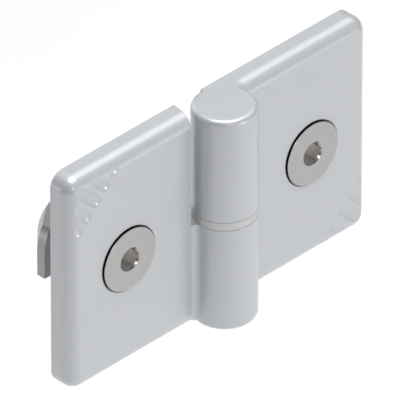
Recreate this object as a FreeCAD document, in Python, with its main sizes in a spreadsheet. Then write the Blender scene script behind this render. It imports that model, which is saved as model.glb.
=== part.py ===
import FreeCAD, Part
import math
import os
import re

import Sketcher
from FreeCAD import Placement, Rotation, Vector

# A lift off hinge for two profiles in line: two like castings turned end for end about a pin, a ring
# between their knuckles, and a countersunk screw with a slot nut through each leaf.
# Frame: X along the width towards the door leaf, Y from the front into the profile, Z up along the pin.
# The origin lies on the mounting plane, straight behind the pin, at half height. Millimetres.

SIZES = {
    # Both castings
    "leaf_reach": 46.2,  # pin axis to the leaf's outer edge
    "leaf_height": 56.0,
    "leaf_thickness": 6.25,
    "leaf_edge_round": 3.2,  # front edges, all but the inner end
    "leaf_corner_round": 3.6,  # outer corners, seen from the front
    "barrel_radius": 7.5,  # the barrel's back touches the mounting plane
    "end_set_back": 0.7,  # room between the barrel's side and the other leaf's end, along X
    "web_round": 1.6,  # hollow round between barrel and leaf front
    "barrel_end_round": 1.2,  # at the closed end
    "barrel_face_round": 0.3,  # at the face beside the ring
    # Corner flutes
    "flute_count": 5,
    "flute_pitch": 4.0,
    "flute_inset": 12.6,  # leaf corner to the line of the flutes' inner ends
    "flute_radius": 2.7,
    "flute_depth": 0.45,
    # Pin and ring
    "pin_radius": 4.0,
    "pin_seat": 22.0,  # length held in the frame leaf
    "pin_stand": 20.0,  # length above the ring
    "pin_chamfer": 0.8,
    "pin_lead": 2.0,  # length of the tapered upper end
    "ring_thickness": 2.0,
    "ring_inset": 0.1,  # ring edge inside the barrel's side
    "ring_chamfer": 0.08,
    "running_clearance": 0.05,  # round the pin, in the ring and in the door leaf
    "bore_spare": 2.0,  # room above the pin in the door leaf
    "bore_chamfer": 0.5,
    # Screws
    "screw_reach": 28.4,  # pin axis to screw axis
    "screw_radius": 4.0,
    "screw_length": 20.0,
    "screw_tip_chamfer": 0.8,
    "head_radius": 7.9,
    "head_land": 0.75,
    "head_edge": 0.15,
    "socket_flats": 5.0,
    "socket_depth": 4.0,
    "socket_mouth": 0.06,  # how far the mouth's cone stands outside the socket's corners
    "sink_radius": 8.2,  # countersink at the leaf's front
    "hole_clearance": 0.5,  # round the shank in the leaf
    "thread_clearance": 0.05,  # round the shank in the nut
    # Slot nuts
    "lip_thickness": 7.6,  # profile lip between the leaf's back and the nut
    "nut_width": 24.4,
    "nut_height": 12.6,
    "nut_thickness": 7.4,
    "nut_edge": 2.3,  # straight part of the sides, the rest tapers to the back
}

# Sizes that follow from the driving ones.
LEAF_FRONT = "(barrel_radius - leaf_thickness)"
INNER_END = "(barrel_radius + end_set_back)"
WEB_CENTRE_Y = "(barrel_radius - leaf_thickness - web_round)"
WEB_END = "sqrt((barrel_radius + web_round)^2 - " + WEB_CENTRE_Y + "^2)"
# The web's hollow round meets the barrel on the line between their two centres.
WEB_SHARE = "(barrel_radius / (barrel_radius + web_round))"
HALF_HEIGHT = "(leaf_height / 2)"
HALF_RING = "(ring_thickness / 2)"
FLUTE_HALF_WIDTH = "sqrt(flute_depth * (2 * flute_radius - flute_depth))"
HEAD_PROUD = "(head_radius + head_land - sink_radius)"
CONE_DEPTH = "(head_radius - screw_radius)"
SHANK_RADIUS = "(screw_radius - thread_clearance)"
SOCKET_CORNER = "(socket_flats / sqrt(3))"
DRILL_TIP = 0.6  # depth of a drill's point for its radius
OVERCUT = 1.0  # how far a cut reaches past the face that it opens
TOLERANCE = 1e-4

doc = FreeCAD.newDocument("lift_off_hinge")
sheet = doc.addObject("Spreadsheet::Sheet", "Sizes")
for row, (size_name, size) in enumerate(SIZES.items(), start=1):
    sheet.set(f"A{row}", size_name)
    sheet.set(f"B{row}", str(size))
    sheet.setAlias(f"B{row}", size_name)
doc.recompute()


def bound(expression):
    """The expression with each size's name read from the sheet."""
    return re.sub(r"[a-z_]+", lambda word: f"Sizes.{word[0]}" if word[0] in SIZES else word[0], expression)


def value(expression):
    return float(sheet.evalExpression(bound(expression)))


def bind(item, **expressions):
    """Bind an object's properties, with double underscores for the dots of a path."""
    for path, expression in expressions.items():
        item.setExpression(path.replace("__", "."), bound(expression))


def new_body(name):
    return doc.addObject("PartDesign::Body", name)


def origin_plane(body, role):
    return next(feature for feature in body.Origin.OriginFeatures if feature.Role == role)


def sketch_on(body, name, role, **offsets):
    """An empty sketch on one of the body's own planes, moved by the given offsets."""
    sketch = body.newObject("Sketcher::SketchObject", name)
    sketch.AttachmentSupport = [(origin_plane(body, role), "")]
    sketch.MapMode = "FlatFace"
    bind(sketch, **{f"AttachmentOffset__Base__{axis}": offset for axis, offset in offsets.items()})
    return sketch


def arc_between(start, end, centre):
    """The shorter arc between two points, and the point numbers of its two ends."""
    angles = [math.atan2(point.y - centre.y, point.x - centre.x) for point in (start, end)]
    forward = (angles[1] - angles[0]) % (2 * math.pi) <= math.pi
    if not forward:
        angles.reverse()
    circle = Part.Circle(centre, Vector(0, 0, 1), (start - centre).Length)
    return Part.ArcOfCircle(circle, *angles), (1, 2) if forward else (2, 1)


def draw(sketch, corners, arcs=None):
    """A closed outline through the corners. arcs maps the corner where a round stretch starts
    to its radius and its centre, all of them expressions."""
    arcs = arcs or {}
    points = [Vector(value(x), value(y), 0) for x, y in corners]
    pieces = []
    for number, start in enumerate(points):
        end = points[(number + 1) % len(points)]
        ends = (1, 2)
        if number in arcs:
            centre = [value(place) for place in arcs[number][1:]]
            geometry, ends = arc_between(start, end, Vector(*centre, 0))
        else:
            geometry = Part.LineSegment(start, end)
        pieces.append((sketch.addGeometry(geometry), ends))
    for number, (piece, ends) in enumerate(pieces):
        before, before_ends = pieces[number - 1]
        sketch.addConstraint(Sketcher.Constraint("Coincident", before, before_ends[1], piece, ends[0]))
        x, y = corners[number]
        for axis, kind, expression in ((-2, "DistanceX", x), (-1, "DistanceY", y)):
            if expression == "0":
                sketch.addConstraint(Sketcher.Constraint("PointOnObject", piece, ends[0], axis))
                continue
            place = Sketcher.Constraint(kind, -1, 1, piece, ends[0], value(expression))
            index = sketch.addConstraint(place)
            sketch.setExpression(f"Constraints[{index}]", bound(expression))
        if number in arcs:
            radius = arcs[number][0]
            index = sketch.addConstraint(Sketcher.Constraint("Radius", piece, value(radius)))
            sketch.setExpression(f"Constraints[{index}]", bound(radius))


def pad(body, sketch, length, backwards=False):
    feature = body.newObject("PartDesign::Pad", sketch.Name + "_pad")
    feature.Profile = sketch
    feature.Reversed = backwards
    bind(feature, Length=length)
    return finish_feature(feature)


def turn(body, sketch, kind):
    """Turn a profile about the sketch's own vertical axis, as a Revolution or as a Groove."""
    feature = body.newObject(f"PartDesign::{kind}", sketch.Name + "_turned")
    feature.Profile = sketch
    feature.ReferenceAxis = (sketch, ["V_Axis"])
    feature.Angle = 360
    return finish_feature(feature)


def dress(body, base, kind, wanted, **expressions):
    """Round or chamfer the edges of base that pass the wanted test."""
    edges = [f"Edge{number}" for number, edge in enumerate(base.Shape.Edges, start=1) if wanted(edge)]
    if not edges:
        raise RuntimeError(f"{body.Name} has no edge for its {kind}")
    feature = body.newObject(f"PartDesign::{kind}", f"{body.Name}_{kind}_{len(body.Group)}")
    feature.Base = (base, edges)
    bind(feature, **expressions)
    return finish_feature(feature)


def finish_feature(feature):
    """Recompute, and make sure that the feature added or removed material."""
    before = feature.BaseFeature.Shape.Volume if feature.BaseFeature else 0
    doc.recompute()
    if abs(feature.Shape.Volume - before) < TOLERANCE:
        raise RuntimeError(f"{feature.Name} changes nothing")
    return feature


def near(one, other):
    return abs(one - other) < TOLERANCE


def flat_at(low, high, place):
    return near(low, place) and near(high, place)


def make_blank():
    """The casting without its barrel: the leaf's plate, the web of the lower half and their rounded
    edges. The pin axis is the local Z axis, and the plate lies on its -X side."""
    body = new_body("leaf_blank")
    plate = sketch_on(body, "plate_plan", "XY_Plane", z="-" + HALF_HEIGHT)
    draw(
        plate,
        [
            ("-leaf_reach", "barrel_radius"),
            ("-leaf_reach", LEAF_FRONT),
            ("-" + WEB_END, LEAF_FRONT),
            ("-" + INNER_END, "barrel_radius"),
        ],
    )
    slab = pad(body, plate, "leaf_height")

    def is_outer_corner(edge):
        box = edge.BoundBox
        return near(box.XMax, -value("leaf_reach")) and box.ZLength < TOLERANCE < box.YLength

    dress(body, slab, "Fillet", is_outer_corner, Radius="leaf_corner_round")
    web = sketch_on(body, "web_plan", "XY_Plane", z="-" + HALF_HEIGHT)
    draw(
        web,
        [
            ("0", "0"),
            ("0", "barrel_radius"),
            ("-" + INNER_END, "barrel_radius"),
            ("-" + WEB_END, LEAF_FRONT),
            (f"-{WEB_END} * {WEB_SHARE}", f"{WEB_CENTRE_Y} * {WEB_SHARE}"),
        ],
        {3: ("web_round", "-" + WEB_END, WEB_CENTRE_Y)},
    )
    pad(body, web, f"{HALF_HEIGHT} - {HALF_RING}")
    return round_edges(body)


def round_edges(body):
    """Round the leaf's front edges. At the knuckle's closed end the round narrows along the hollow
    of the web, from the leaf's edge to the barrel's."""
    web_end = -value(WEB_END)
    leaf_round = value("leaf_edge_round")
    narrowing = [leaf_round, value("barrel_end_round")]
    rounds = []
    for number, edge in enumerate(body.Shape.Edges, start=1):
        box = edge.BoundBox
        at_front = flat_at(box.YMin, box.YMax, value(LEAF_FRONT))
        at_closed_end = flat_at(box.ZMin, box.ZMax, -value(HALF_HEIGHT))
        if at_front and not near(box.XMin, web_end):
            rounds.append((number, leaf_round, leaf_round))
        elif at_closed_end and near(box.XMin, web_end) and isinstance(edge.Curve, Part.Circle):
            starts_at_leaf = near(edge.firstVertex().X, web_end)
            rounds.append((number, *(narrowing if starts_at_leaf else reversed(narrowing))))
    rounded = doc.addObject("Part::Fillet", "rounded_blank")
    rounded.Base = body
    rounded.Edges = rounds
    doc.recompute()
    return rounded


def drill_screw_hole(body):
    """The countersunk hole through the leaf."""
    hole = sketch_on(body, body.Name + "_screw_hole", "XY_Plane", x="-screw_reach")
    shank_room = "(screw_radius + hole_clearance)"
    draw(
        hole,
        [
            ("0", f"barrel_radius + {OVERCUT}"),
            (shank_room, f"barrel_radius + {OVERCUT}"),
            (shank_room, f"{LEAF_FRONT} + sink_radius - {shank_room}"),
            (f"sink_radius + {OVERCUT}", f"{LEAF_FRONT} - {OVERCUT}"),
            ("0", f"{LEAF_FRONT} - {OVERCUT}"),
        ],
    )
    turn(body, hole, "Groove")


def cut_flutes(body):
    """Ball-nosed flutes at the outer upper corner, side by side, running out through its edges."""
    diagonal = "flute_inset / sqrt(2)"
    flute = sketch_on(
        body,
        body.Name + "_flute",
        "XZ_Plane",
        x=f"{diagonal} - leaf_reach",
        y=f"{HALF_HEIGHT} - {diagonal}",
        z=f"flute_radius - flute_depth - {LEAF_FRONT}",
    )
    # The sketch's upward axis points at the leaf's corner.
    flute.AttachmentOffset = Placement(flute.AttachmentOffset.Base, Rotation(Vector(0, 0, 1), 45))
    axis = "-(flute_count - 1) / 2 * flute_pitch"
    run_out = f"flute_inset + {OVERCUT}"
    side = f"{axis} + flute_radius"
    ball_bottom = f"{FLUTE_HALF_WIDTH} - flute_radius"
    draw(
        flute,
        [(axis, ball_bottom), (side, FLUTE_HALF_WIDTH), (side, run_out), (axis, run_out)],
        {0: ("flute_radius", axis, FLUTE_HALF_WIDTH)},
    )
    centre_line = Part.LineSegment(Vector(value(axis), 0, 0), Vector(value(axis), value(run_out), 0))
    line = flute.addGeometry(centre_line, True)
    flute.addConstraint(Sketcher.Constraint("PointOnObject", line, 1, -1))
    flute.addConstraint(Sketcher.Constraint("Vertical", line))
    flute.addConstraint(Sketcher.Constraint("Coincident", line, 2, 3, 1))
    first = body.newObject("PartDesign::Groove", body.Name + "_first_flute")
    first.Profile = flute
    first.ReferenceAxis = (flute, ["Axis0"])
    first.Angle = 360
    finish_feature(first)
    row = body.newObject("PartDesign::LinearPattern", body.Name + "_flute_row")
    row.Originals = [first]
    row.Direction = (flute, ["H_Axis"])
    bind(row, Length="(flute_count - 1) * flute_pitch", Occurrences="flute_count")
    body.Tip = row
    finish_feature(row)


def add_barrel(body, bore_radius, bore_depth):
    """The barrel of the lower half, and the blind bore in it."""
    closed_end = "-" + HALF_HEIGHT
    ring_face = "-" + HALF_RING
    barrel = sketch_on(body, body.Name + "_barrel", "XZ_Plane")
    end_shoulder = "barrel_radius - barrel_end_round"
    end_height = f"barrel_end_round - {HALF_HEIGHT}"
    face_shoulder = "barrel_radius - barrel_face_round"
    face_height = f"-{HALF_RING} - barrel_face_round"
    draw(
        barrel,
        [
            ("0", closed_end),
            (end_shoulder, closed_end),
            ("barrel_radius", end_height),
            ("barrel_radius", face_height),
            (face_shoulder, ring_face),
            ("0", ring_face),
        ],
        {
            1: ("barrel_end_round", end_shoulder, end_height),
            3: ("barrel_face_round", face_shoulder, face_height),
        },
    )
    turn(body, barrel, "Revolution")
    bore = sketch_on(body, body.Name + "_bore", "XZ_Plane")
    draw(
        bore,
        [
            ("0", ring_face),
            (f"{bore_radius} + bore_chamfer", ring_face),
            (bore_radius, f"{ring_face} - bore_chamfer"),
            (bore_radius, f"{ring_face} - {bore_depth}"),
            ("0", f"{ring_face} - {bore_depth} - {DRILL_TIP} * {bore_radius}"),
        ],
    )
    turn(body, bore, "Groove")


def make_leaf(label, blank, bore_radius, bore_depth, turned):
    """One casting, turned end for end on the door side."""
    body = new_body(label)
    body.BaseFeature = blank
    doc.recompute()
    add_barrel(body, bore_radius, bore_depth)
    drill_screw_hole(body)
    cut_flutes(body)
    body.Placement = Placement(Vector(), Rotation(Vector(0, 1, 0), 180 if turned else 0))
    bind(body, Placement__Base__y="-barrel_radius")
    return body


def make_turned(label, corners):
    """A piece turned about the pin's axis, from its profile of radius and height."""
    body = new_body(label)
    profile = sketch_on(body, label + "_profile", "XZ_Plane")
    draw(profile, corners)
    turn(body, profile, "Revolution")
    bind(body, Placement__Base__y="-barrel_radius")
    return body


def make_pin():
    foot = f"-{HALF_RING} - pin_seat"
    top = f"{HALF_RING} + pin_stand"
    return make_turned(
        "hinge_pin",
        [
            ("0", foot),
            ("pin_radius - pin_chamfer", foot),
            ("pin_radius", f"{foot} + pin_chamfer"),
            ("pin_radius", f"{top} - pin_lead"),
            ("pin_radius - pin_chamfer", top),
            ("0", top),
        ],
    )


def make_ring():
    hole = "(pin_radius + running_clearance)"
    edge = "(barrel_radius - ring_inset)"
    return make_turned(
        "bearing_ring",
        [
            (hole, "-" + HALF_RING),
            (f"{edge} - ring_chamfer", "-" + HALF_RING),
            (edge, f"ring_chamfer - {HALF_RING}"),
            (edge, f"{HALF_RING} - ring_chamfer"),
            (f"{edge} - ring_chamfer", HALF_RING),
            (hole, HALF_RING),
        ],
    )


def face_front(body, across, depth):
    """Set a piece modelled along Z on a screw's axis, with its top facing the front."""
    body.Placement = Placement(Vector(), Rotation(Vector(1, 0, 0), 90))
    bind(body, Placement__Base__x=across, Placement__Base__y=depth)


def make_screw(label, across):
    """A countersunk screw with a hexagon socket, its head's top at the local origin."""
    body = new_body(label)
    profile = sketch_on(body, label + "_profile", "XZ_Plane")
    draw(
        profile,
        [
            ("0", "0"),
            ("head_radius - head_edge", "0"),
            ("head_radius", "-head_edge"),
            ("head_radius", "-head_land"),
            (SHANK_RADIUS, f"-head_land - {CONE_DEPTH} - thread_clearance"),
            (SHANK_RADIUS, "screw_tip_chamfer - screw_length"),
            (f"{SHANK_RADIUS} - screw_tip_chamfer", "-screw_length"),
            ("0", "-screw_length"),
        ],
    )
    turn(body, profile, "Revolution")

    socket = sketch_on(body, label + "_socket", "XY_Plane")
    # Two of the hexagon's corners lie on the X axis.
    half_corner = f"{SOCKET_CORNER} / 2"
    half_flats = "socket_flats / 2"
    draw(
        socket,
        [
            (SOCKET_CORNER, "0"),
            (half_corner, half_flats),
            (f"-{half_corner}", half_flats),
            (f"-{SOCKET_CORNER}", "0"),
            (f"-{half_corner}", f"-{half_flats}"),
            (half_corner, f"-{half_flats}"),
        ],
    )
    hexagon = body.newObject("PartDesign::Pocket", label + "_hexagon")
    hexagon.Profile = socket
    bind(hexagon, Length="socket_depth")
    finish_feature(hexagon)

    mouth = sketch_on(body, label + "_mouth", "XZ_Plane")
    mouth_radius = f"{SOCKET_CORNER} + socket_mouth"
    draw(mouth, [("0", "0"), (mouth_radius, "0"), ("0", f"-({mouth_radius})")])
    turn(body, mouth, "Groove")
    face_front(body, across, f"-leaf_thickness - {HEAD_PROUD}")
    return body


def make_slot_nut(label, across):
    """A slot nut that is turned into its slot: two of its corners are round about the screw's axis, and
    its sides taper to the back. Its bearing face is at the local origin."""
    body = new_body(label)
    face = sketch_on(body, label + "_face", "XY_Plane")
    half_width = "nut_width / 2"
    half_height = "nut_height / 2"
    round_end = f"sqrt(({half_width})^2 - ({half_height})^2)"
    draw(
        face,
        [
            (f"-{half_width}", f"-{half_height}"),
            (round_end, f"-{half_height}"),
            (half_width, "0"),
            (half_width, half_height),
            (f"-{round_end}", half_height),
            (f"-{half_width}", "0"),
        ],
        {1: (half_width, "0", "0"), 4: (half_width, "0", "0")},
    )
    block = pad(body, face, "nut_thickness", backwards=True)

    def is_side_of_back(edge):
        box = edge.BoundBox
        return flat_at(box.ZMin, box.ZMax, -value("nut_thickness")) and box.YLength > TOLERANCE

    dress(body, block, "Chamfer", is_side_of_back, Size="nut_thickness - nut_edge")

    thread = sketch_on(body, label + "_thread", "XZ_Plane")
    draw(
        thread,
        [
            ("0", "0"),
            ("screw_radius + bore_chamfer", "0"),
            ("screw_radius", "-bore_chamfer"),
            ("screw_radius", "-nut_thickness"),
            ("0", "-nut_thickness"),
        ],
    )
    turn(body, thread, "Groove")
    face_front(body, across, "lip_thickness")
    return body


def write_parts(parts):
    """Check every object and each part's shape, then write the parts."""
    doc.recompute()
    for item in doc.Objects:
        if {"Invalid", "Error"} & set(item.State):
            raise RuntimeError(f"{item.Name} failed: {item.State}")
    for part in parts:
        shape = part.Shape
        if shape.isNull() or not shape.isValid() or len(shape.Solids) != 1:
            raise RuntimeError(f"{part.Label} isn't one valid solid")
    os.makedirs("parts", exist_ok=True)
    for part in parts:
        part.Shape.exportStep(f"parts/{part.Label}.step")
        print(f"{part.Label}: {part.Shape.Volume:.1f} mm3")


leaf_blank = make_blank()
door_bore = "(pin_radius + running_clearance)"
write_parts(
    [
        make_leaf("frame_leaf", leaf_blank, "pin_radius", "pin_seat", turned=False),
        make_leaf("door_leaf", leaf_blank, door_bore, "(pin_stand + bore_spare)", turned=True),
        make_pin(),
        make_ring(),
        make_screw("frame_screw", "-screw_reach"),
        make_screw("door_screw", "screw_reach"),
        make_slot_nut("frame_slot_nut", "-screw_reach"),
        make_slot_nut("door_slot_nut", "screw_reach"),
    ]
)
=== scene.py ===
from collections import namedtuple
import math

import bmesh
import bpy
from mathutils import Matrix, Vector


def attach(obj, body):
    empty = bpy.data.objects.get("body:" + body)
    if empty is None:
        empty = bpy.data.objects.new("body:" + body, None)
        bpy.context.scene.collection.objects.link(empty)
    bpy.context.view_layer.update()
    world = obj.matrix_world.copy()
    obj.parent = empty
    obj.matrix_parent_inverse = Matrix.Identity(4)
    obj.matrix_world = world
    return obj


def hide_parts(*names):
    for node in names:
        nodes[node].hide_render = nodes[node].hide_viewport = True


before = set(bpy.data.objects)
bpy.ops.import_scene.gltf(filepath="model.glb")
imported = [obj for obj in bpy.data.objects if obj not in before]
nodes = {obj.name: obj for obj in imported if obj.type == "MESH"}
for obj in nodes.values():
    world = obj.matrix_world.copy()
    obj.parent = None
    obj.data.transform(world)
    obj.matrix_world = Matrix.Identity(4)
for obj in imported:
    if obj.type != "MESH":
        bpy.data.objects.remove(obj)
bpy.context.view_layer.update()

MM = 0.001

# Places of the screws and the pin, in millimetres
SCREW_REACH = 28.4
HEAD_TOP = -6.7
PIN_AXIS = (0, -7.5)

# Sizes of the screws, in millimetres
HEAD_RADIUS = 7.9
HEAD_EDGE = 0.15
HEAD_LAND = 0.75
SHANK_RADIUS = 3.95
SHANK_START = 4.7
SCREW_LENGTH = 20.0
TIP_CHAMFER = 0.8
SOCKET_SIDES = 6
SOCKET_FLATS = 5.0
SOCKET_DEPTH = 4.0
SOCKET_CORNER = SOCKET_FLATS / math.sqrt(3)
SOCKET_MOUTH_EDGE = 0.06
SOCKET_MOUTH = SOCKET_CORNER + SOCKET_MOUTH_EDGE
CORE_RADIUS = 3.25
THREAD_PITCH = 1.25
THREAD_RUN_IN = 1.25
# Half the width of the thread's crest, and the run of its flank along the axis
THREAD_CREST = THREAD_PITCH / 16
THREAD_FLANK = 0.3 * THREAD_PITCH
# How far the thread's foot lies inside the core
THREAD_SINK = 0.1

# How the screws' meshes are made: the direction of the axis, the steps of a full turn, the distance at
# which points merge, and the angle from which an edge is sharp
SCREW_AXIS = (0, 1, 0)
SCREW_SIDES = 96
TOUCHING = 0.0005 * MM
SHARP_ANGLE = math.radians(28)

# Each finish has a darkest and a lightest tone, a least and a greatest roughness, and a relief.
Finish = namedtuple("Finish", "metallic dark light roughness relief_strength relief_height")
SILVER_LACQUER = Finish(0.25, (0.516, 0.533, 0.556), (0.544, 0.561, 0.584), (0.40, 0.44), 0.06, 0.04 * MM)
PLATED_STEEL = Finish(0.6, (0.32, 0.32, 0.318), (0.37, 0.37, 0.368), (0.26, 0.34), 0.12, 0.05 * MM)
RING_STEEL = Finish(0.3, (0.56, 0.562, 0.56), (0.60, 0.602, 0.60), (0.36, 0.46), 0.10, 0.03 * MM)
PIN_STEEL = Finish(1.0, (0.58, 0.58, 0.58), (0.61, 0.61, 0.61), (0.20, 0.26), 0.015, 0.03 * MM)
SCREW_STEEL = Finish(1.0, (0.395, 0.39, 0.388), (0.465, 0.46, 0.458), (0.30, 0.40), 0.10, 0.03 * MM)

# The lacquer's clear coat, and how quickly its gloss fades towards the outline
COAT_ROUGHNESS = 0.18
GLOSS_FADE = 3.0

# Tones of the pressed socket, and a painted shade: a near-black tone on the screw head's side and underside,
# where the gap between head and casting lies in shade
PRESSED_STEEL = (0.77, 0.742, 0.726)
GAP_PAINTED_SHADE = (0.012, 0.012, 0.012)
# How much smoother the socket's mouth is than the head
MOUTH_GLOSS = 0.1

# Scale of each noise pattern, and the range that most of its values lie in
GRAIN_SCALE = 2600.0
MOTTLE_SCALE = 55.0
RING_SCALE = 4200.0
SCRATCH_SCALE = 900.0
NOISE_LOW = 0.3
NOISE_HIGH = 0.7

# Strength of the even light from all round, and of the backdrop
WHITE = (1.0, 1.0, 1.0, 1.0)
ROOM_GLOW = 0.145
BACKDROP_GLOW = 0.8

# Name, azimuth, elevation, distance, size and power of each softbox
LIGHTS = [
    ("top", 0, 89, 0.8, 0.6, 6.0),
    ("back", 180, 20, 0.8, 0.6, 1.3),
    ("left_back", -127, -3, 0.7, 0.1, 0.16),
    ("left_front", -26, 24, 0.7, 0.1, 0.52),
    ("front", 14, -1, 0.7, 0.14, 1.0),
    ("low_right", 40, -7, 0.7, 0.16, 0.14),
    ("right_front", 45, 20, 0.8, 0.6, 0.22),
    ("right_top", 106, 63, 0.7, 0.5, 1.3),
]

# The floor, in metres below the hinge's middle
FLOOR_DEPTH = 0.12
FLOOR_SIZE = 6.0
FLOOR_TONE = (0.9, 0.9, 0.9, 1.0)
FLOOR_ROUGHNESS = 0.9
FLOOR_GLOW = 0.06

# The camera's isometric view, and how far the middle of its picture lies from the part's origin
CAMERA_AZIMUTH = -45
CAMERA_ELEVATION = 35.264
LENS = 1500.0
SENSOR = 36.0
FRAME_WIDTH = 87.91 * MM
PICTURE_RIGHT = -0.08 * MM
PICTURE_UP = -1.325 * MM


def add_to_scene(item):
    bpy.context.scene.collection.objects.link(item)
    return item


def direction(azimuth, elevation):
    """The direction from the object towards a light or camera, azimuth 0 in front and 90 at the right."""
    turn = math.radians(azimuth)
    lift = math.radians(elevation)
    return Vector((math.sin(turn) * math.cos(lift), -math.cos(turn) * math.cos(lift), math.sin(lift)))


def aim(item, target):
    item.rotation_euler = (target - item.location).to_track_quat("-Z", "Y").to_euler()


# Shader nodes


def node(tree, kind, **settings):
    made = tree.nodes.new(kind)
    for label, setting in settings.items():
        setattr(made, label, setting)
    return made


def math_node(tree, operation, first, second=None):
    """A math node whose inputs are sockets or numbers; gives its output socket."""
    made = node(tree, "ShaderNodeMath", operation=operation)
    for socket, given in zip(made.inputs, (first, second)):
        if given is None:
            continue
        if isinstance(given, (int, float)):
            socket.default_value = given
        else:
            tree.links.new(given, socket)
    return made.outputs[0]


def noise(tree, place, scale, detail, roughness=0.5):
    made = node(tree, "ShaderNodeTexNoise")
    made.inputs["Scale"].default_value = scale
    made.inputs["Detail"].default_value = detail
    made.inputs["Roughness"].default_value = roughness
    tree.links.new(place, made.inputs["Vector"])
    return made.outputs[0]


def colour_mix(tree, factor, dark, light):
    """A colour between two, by a varying factor. The first may be a socket."""
    made = node(tree, "ShaderNodeMix", data_type="RGBA")
    tree.links.new(factor, made.inputs["Factor"])
    if isinstance(dark, tuple):
        made.inputs["A"].default_value = (*dark, 1.0)
    else:
        tree.links.new(dark, made.inputs["A"])
    made.inputs["B"].default_value = (*light, 1.0)
    return made.outputs["Result"]


def spread(tree, factor, low, high):
    """A noise pattern's value, taken from its usual range to the given one."""
    made = node(tree, "ShaderNodeMapRange")
    made.inputs["From Min"].default_value = NOISE_LOW
    made.inputs["From Max"].default_value = NOISE_HIGH
    made.inputs["To Min"].default_value = low
    made.inputs["To Max"].default_value = high
    tree.links.new(factor, made.inputs["Value"])
    return made.outputs[0]


def face_mark(tree, mark):
    """1 on the faces that carry the mark, and 0 elsewhere."""
    return node(tree, "ShaderNodeAttribute", attribute_name=mark).outputs["Fac"]


# Patterns that several materials share


def new_group(name, inputs, outputs):
    """An empty node group with float inputs and outputs."""
    group = bpy.data.node_groups.new(name, "ShaderNodeTree")
    for label in inputs:
        group.interface.new_socket(label, in_out="INPUT", socket_type="NodeSocketFloat")
    for label in outputs:
        group.interface.new_socket(label, in_out="OUTPUT", socket_type="NodeSocketFloat")
    return group, group.nodes.new("NodeGroupInput"), group.nodes.new("NodeGroupOutput")


def use_group(tree, group):
    made = node(tree, "ShaderNodeGroup")
    made.node_tree = group
    return made


def grain_group():
    """Fine grain of a sprayed or plated skin: a height, and a slow mottle for tone and gloss."""
    group, _, leave = new_group("fine_grain", [], ["Height", "Mottle"])
    place = node(group, "ShaderNodeTexCoord").outputs["Object"]
    group.links.new(noise(group, place, GRAIN_SCALE, detail=3.0), leave.inputs["Height"])
    group.links.new(noise(group, place, MOTTLE_SCALE, detail=3.0), leave.inputs["Mottle"])
    return group


def turning_group():
    """Marks left by turning, as rings round an axis along Y or Z through the given place."""
    group, enter, leave = new_group(
        "turning_marks", ["Across X", "Across Y", "Upright"], ["Rings", "Scratches"]
    )
    place = node(group, "ShaderNodeSeparateXYZ")
    group.links.new(node(group, "ShaderNodeTexCoord").outputs["Object"], place.inputs[0])
    across = math_node(group, "SUBTRACT", place.outputs[0], enter.outputs["Across X"])
    in_depth = math_node(group, "SUBTRACT", place.outputs[1], enter.outputs["Across Y"])
    flip = math_node(group, "SUBTRACT", 1.0, enter.outputs["Upright"])
    # Round an upright axis the second coordinate is Y, and round one along Y it is Z.
    second = math_node(
        group,
        "ADD",
        math_node(group, "MULTIPLY", in_depth, enter.outputs["Upright"]),
        math_node(group, "MULTIPLY", place.outputs[2], flip),
    )
    along = math_node(
        group,
        "ADD",
        math_node(group, "MULTIPLY", place.outputs[2], enter.outputs["Upright"]),
        math_node(group, "MULTIPLY", place.outputs[1], flip),
    )
    radius = math_node(
        group,
        "SQRT",
        math_node(
            group,
            "ADD",
            math_node(group, "MULTIPLY", across, across),
            math_node(group, "MULTIPLY", second, second),
        ),
    )
    rings = node(group, "ShaderNodeCombineXYZ")
    group.links.new(math_node(group, "ADD", radius, along), rings.inputs[0])
    group.links.new(math_node(group, "SUBTRACT", radius, along), rings.inputs[1])
    ring_noise = noise(group, rings.outputs[0], RING_SCALE, detail=3.0, roughness=0.7)
    group.links.new(ring_noise, leave.inputs["Rings"])
    scratch_noise = noise(group, rings.outputs[0], SCRATCH_SCALE, detail=2.0)
    group.links.new(scratch_noise, leave.inputs["Scratches"])
    return group


GRAIN = grain_group()
TURNING = turning_group()


# Materials


def new_material(name, metallic):
    material = bpy.data.materials.new(name)
    material.use_nodes = True
    shader = material.node_tree.nodes["Principled BSDF"]
    shader.inputs["Metallic"].default_value = metallic
    return material, material.node_tree, shader


def raise_relief(tree, shader, height, finish):
    made = node(tree, "ShaderNodeBump")
    made.inputs["Strength"].default_value = finish.relief_strength
    made.inputs["Distance"].default_value = finish.relief_height
    tree.links.new(height, made.inputs["Height"])
    tree.links.new(made.outputs[0], shader.inputs["Normal"])


def grained_material(name, finish):
    """A sprayed or plated skin with a fine grain."""
    material, tree, shader = new_material(name, finish.metallic)
    grain = use_group(tree, GRAIN)
    mottle = grain.outputs["Mottle"]
    tree.links.new(colour_mix(tree, mottle, finish.dark, finish.light), shader.inputs["Base Color"])
    tree.links.new(spread(tree, mottle, *finish.roughness), shader.inputs["Roughness"])
    raise_relief(tree, shader, grain.outputs["Height"], finish)
    return material, tree, shader


def lacquer_material():
    """Satin silver lacquer on the castings. Its gloss fades where it is seen edge on."""
    material, tree, shader = grained_material("satin_silver_lacquer", SILVER_LACQUER)
    slant = node(tree, "ShaderNodeLayerWeight").outputs["Facing"]
    edge_on = math_node(tree, "POWER", slant, GLOSS_FADE)
    tree.links.new(math_node(tree, "SUBTRACT", 1.0, edge_on), shader.inputs["Coat Weight"])
    shader.inputs["Coat Roughness"].default_value = COAT_ROUGHNESS
    return material


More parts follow.
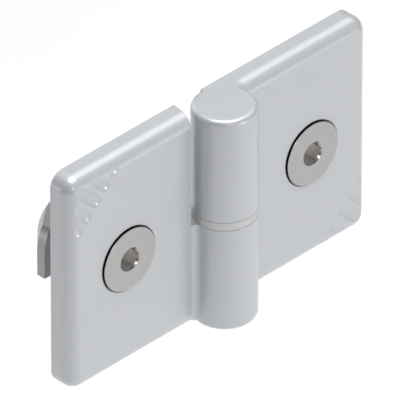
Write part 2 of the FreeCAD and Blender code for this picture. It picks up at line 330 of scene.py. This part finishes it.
def turned_material(name, finish, axis, upright, marked=False):
    """Turned steel, with fine rings round the piece's own axis. On a marked piece, the head's side and
    underside carry a painted shade, near-black for the shaded gap between head and casting, faces marked
    socket are pressed, and those marked mouth are smooth."""
    material, tree, shader = new_material(name, finish.metallic)
    turning = use_group(tree, TURNING)
    turning.inputs["Across X"].default_value = axis[0] * MM
    turning.inputs["Across Y"].default_value = axis[1] * MM
    turning.inputs["Upright"].default_value = upright
    scratches = turning.outputs["Scratches"]
    tone = colour_mix(tree, scratches, finish.dark, finish.light)
    roughness = spread(tree, scratches, *finish.roughness)
    if marked:
        tone = colour_mix(tree, face_mark(tree, "socket"), tone, PRESSED_STEEL)
        # Painted shade: the marked faces turn near-black, where the gap between head and casting lies in
        # shade
        tone = colour_mix(tree, face_mark(tree, "painted_shade"), tone, GAP_PAINTED_SHADE)
        smoother = math_node(tree, "MULTIPLY", face_mark(tree, "mouth"), MOUTH_GLOSS)
        roughness = math_node(tree, "SUBTRACT", roughness, smoother)
    tree.links.new(tone, shader.inputs["Base Color"])
    tree.links.new(roughness, shader.inputs["Roughness"])
    raise_relief(tree, shader, turning.outputs["Rings"], finish)
    return material


def floor_material():
    material, _, shader = new_material("pale_floor", 0.0)
    shader.inputs["Base Color"].default_value = FLOOR_TONE
    shader.inputs["Roughness"].default_value = FLOOR_ROUGHNESS
    shader.inputs["Emission Color"].default_value = WHITE
    shader.inputs["Emission Strength"].default_value = FLOOR_GLOW
    return material


def paint(piece, material):
    piece.data.materials.clear()
    piece.data.materials.append(material)


# Screws, made about their axis with the head's top at zero depth


def between(mesh, verts):
    """The edges that run from one of the given vertices to another."""
    chosen = set(verts)
    return [edge for edge in mesh.edges if edge.verts[0] in chosen and edge.verts[1] in chosen]


def mark_faces(faces, mark):
    for face in faces:
        face[mark] = 1.0


def draw_outline(mesh, points, closed=False):
    """Vertices and edges through points given as distance from the axis and depth below the head's top."""
    verts = [mesh.verts.new(Vector((radius, depth, 0)) * MM) for radius, depth in points]
    edges = [mesh.edges.new(pair) for pair in zip(verts, verts[1:])]
    if closed:
        edges.append(mesh.edges.new((verts[-1], verts[0])))
    return verts + edges


def spin_round(mesh, points, mark=None):
    """Turn an outline once round the screw's axis, and mark the new faces where a mark is given."""
    known = set(mesh.faces)
    bmesh.ops.spin(
        mesh,
        geom=draw_outline(mesh, points),
        axis=SCREW_AXIS,
        angle=2 * math.pi,
        steps=SCREW_SIDES,
        use_merge=True,
    )
    if mark:
        mark_faces([face for face in mesh.faces if face not in known], mark)


def sink_socket(mesh):
    """A hexagon socket whose walls start where the cone of its mouth meets them."""
    upright = Matrix.Rotation(math.radians(90), 4, "X") @ Matrix.Rotation(math.radians(90), 4, "Z")
    bmesh.ops.create_circle(mesh, radius=SOCKET_CORNER * MM, segments=SOCKET_SIDES, matrix=upright)
    bmesh.ops.subdivide_edges(mesh, edges=mesh.edges[:], cuts=SCREW_SIDES // SOCKET_SIDES - 1)
    rim = mesh.verts[:]
    walls = bmesh.ops.extrude_edge_only(mesh, edges=mesh.edges[:])["geom"]
    floor_rim = [part for part in walls if isinstance(part, bmesh.types.BMVert)]
    bmesh.ops.translate(mesh, verts=floor_rim, vec=(0, SOCKET_DEPTH * MM, 0))
    bmesh.ops.contextual_create(mesh, geom=between(mesh, floor_rim))
    for vert in rim:
        vert.co.y = SOCKET_MOUTH * MM - vert.co.length
    return rim, mesh.faces[:]


def wind_thread(mesh):
    """The ridge of the right-hand thread. It rises out of the neck and fades out in the point's chamfer."""
    foot_radius = CORE_RADIUS - THREAD_SINK
    foot_half = THREAD_CREST + THREAD_FLANK
    section = [
        (foot_radius, SHANK_START - foot_half),
        (SHANK_RADIUS, SHANK_START - THREAD_CREST),
        (SHANK_RADIUS, SHANK_START + THREAD_CREST),
        (foot_radius, SHANK_START + foot_half),
    ]
    last = SCREW_LENGTH - THREAD_SINK
    steps = round((last - SHANK_START) / THREAD_PITCH * SCREW_SIDES)
    known = set(mesh.verts)
    bmesh.ops.spin(
        mesh,
        geom=draw_outline(mesh, section, closed=True),
        axis=SCREW_AXIS,
        dvec=(0, THREAD_PITCH / SCREW_SIDES * MM, 0),
        angle=2 * math.pi * steps / SCREW_SIDES,
        steps=steps,
    )
    # The limit lies a little inside the point's chamfer, so that the ridge ends within the core.
    chamfer_tip = SHANK_RADIUS - TIP_CHAMFER + SCREW_LENGTH - THREAD_SINK / 2
    for vert in [vert for vert in mesh.verts if vert not in known]:
        vert.co.y = min(vert.co.y, last * MM)
        kept = min(1.0, (chamfer_tip * MM - vert.co.y) / math.hypot(vert.co.x, vert.co.z))
        vert.co.x *= kept
        vert.co.z *= kept


def make_screw(name, across):
    """A countersunk screw with a hexagon socket and a right-hand thread, in place of the plain one."""
    mesh = bmesh.new()
    # This layer marks the faces that get the painted shade of the gap round the head
    painted_shade = mesh.faces.layers.float.new("painted_shade")
    socket = mesh.faces.layers.float.new("socket")
    mouth = mesh.faces.layers.float.new("mouth")
    socket_rim, socket_faces = sink_socket(mesh)

    half_edge = (HEAD_RADIUS - HEAD_EDGE / 2, HEAD_EDGE / 2)
    spin_round(mesh, [(SOCKET_MOUTH, 0), (HEAD_RADIUS - HEAD_EDGE, 0), half_edge])
    mouth_rim = [vert for vert in mesh.verts if abs(vert.co.length - SOCKET_MOUTH * MM) < TOUCHING]
    rims = between(mesh, socket_rim) + between(mesh, mouth_rim)
    mark_faces(bmesh.ops.bridge_loops(mesh, edges=rims)["faces"], mouth)
    # The bridge copies the marks of its neighbours, so the socket gets its own afterwards.
    mark_faces(socket_faces, socket)

    neck = (SHANK_RADIUS, SHANK_START)
    # The head's side and underside carry the mark for the painted shade of the gap
    spin_round(mesh, [half_edge, (HEAD_RADIUS, HEAD_EDGE), (HEAD_RADIUS, HEAD_LAND), neck], painted_shade)
    point = SHANK_RADIUS - TIP_CHAMFER
    shank = [
        neck,
        (CORE_RADIUS, SHANK_START + THREAD_RUN_IN),
        (CORE_RADIUS, SCREW_LENGTH - CORE_RADIUS + point),
        (point, SCREW_LENGTH),
    ]
    spin_round(mesh, shank)
    wind_thread(mesh)

    bmesh.ops.remove_doubles(mesh, verts=mesh.verts[:], dist=TOUCHING)
    bmesh.ops.holes_fill(mesh, edges=mesh.edges[:], sides=0)
    bmesh.ops.recalc_face_normals(mesh, faces=mesh.faces[:])
    bmesh.ops.translate(mesh, verts=mesh.verts[:], vec=Vector((across, HEAD_TOP, 0)) * MM)
    data = bpy.data.meshes.new(name)
    mesh.to_mesh(data)
    mesh.free()
    data.shade_smooth()
    data.set_sharp_from_angle(angle=SHARP_ANGLE)
    return add_to_scene(bpy.data.objects.new(name, data))


# Floor, light and camera


def make_world():
    """A dim, even light from all round, with a pale backdrop where the camera sees past the floor."""
    world = bpy.data.worlds.new("studio")
    bpy.context.scene.world = world
    world.use_nodes = True
    tree = world.node_tree
    room = tree.nodes["Background"]
    backdrop = node(tree, "ShaderNodeBackground")
    for background, strength in ((room, ROOM_GLOW), (backdrop, BACKDROP_GLOW)):
        background.inputs["Color"].default_value = WHITE
        background.inputs["Strength"].default_value = strength
    choice = node(tree, "ShaderNodeMixShader")
    tree.links.new(node(tree, "ShaderNodeLightPath").outputs["Is Camera Ray"], choice.inputs[0])
    tree.links.new(room.outputs[0], choice.inputs[1])
    tree.links.new(backdrop.outputs[0], choice.inputs[2])
    tree.links.new(choice.outputs[0], tree.nodes["World Output"].inputs["Surface"])


def hang_light(name, azimuth, elevation, distance, size, power):
    data = bpy.data.lights.new(name, "AREA")
    data.size = size
    data.energy = power
    lamp = add_to_scene(bpy.data.objects.new(name, data))
    lamp.location = direction(azimuth, elevation) * distance
    aim(lamp, Vector())


def lay_floor():
    bpy.ops.mesh.primitive_plane_add(size=FLOOR_SIZE, location=(0, 0, -FLOOR_DEPTH))
    floor = bpy.context.object
    floor.name = "floor"
    paint(floor, floor_material())


def set_up_camera():
    data = bpy.data.cameras.new("camera")
    data.lens = LENS
    data.sensor_width = SENSOR
    camera = add_to_scene(bpy.data.objects.new("camera", data))
    rightwards = direction(CAMERA_AZIMUTH + 90, 0)
    upwards = direction(CAMERA_AZIMUTH + 180, 90 - CAMERA_ELEVATION)
    target = rightwards * PICTURE_RIGHT + upwards * PICTURE_UP
    distance = FRAME_WIDTH * LENS / SENSOR
    camera.location = target + direction(CAMERA_AZIMUTH, CAMERA_ELEVATION) * distance
    aim(camera, target)
    bpy.context.scene.camera = camera
    bpy.context.scene.view_settings.view_transform = "Standard"


# The hinge

lacquer = lacquer_material()
for name in ("frame_leaf", "door_leaf"):
    paint(nodes[name], lacquer)
plating, _, _ = grained_material("plated_nut_steel", PLATED_STEEL)
for name in ("frame_slot_nut", "door_slot_nut"):
    paint(nodes[name], plating)
paint(nodes["bearing_ring"], turned_material("ring_steel", RING_STEEL, PIN_AXIS, upright=1.0))
paint(nodes["hinge_pin"], turned_material("ground_pin_steel", PIN_STEEL, PIN_AXIS, upright=1.0))
for side, across in (("frame", -SCREW_REACH), ("door", SCREW_REACH)):
    screw = make_screw(side + "_screw_threaded", across)
    steel_name = side + "_screw_steel"
    paint(screw, turned_material(steel_name, SCREW_STEEL, (across, 0), upright=0.0, marked=True))
    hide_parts(side + "_screw")
    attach(screw, side + "_side")

# The studio

make_world()
for light in LIGHTS:
    hang_light(*light)
lay_floor()
set_up_camera()
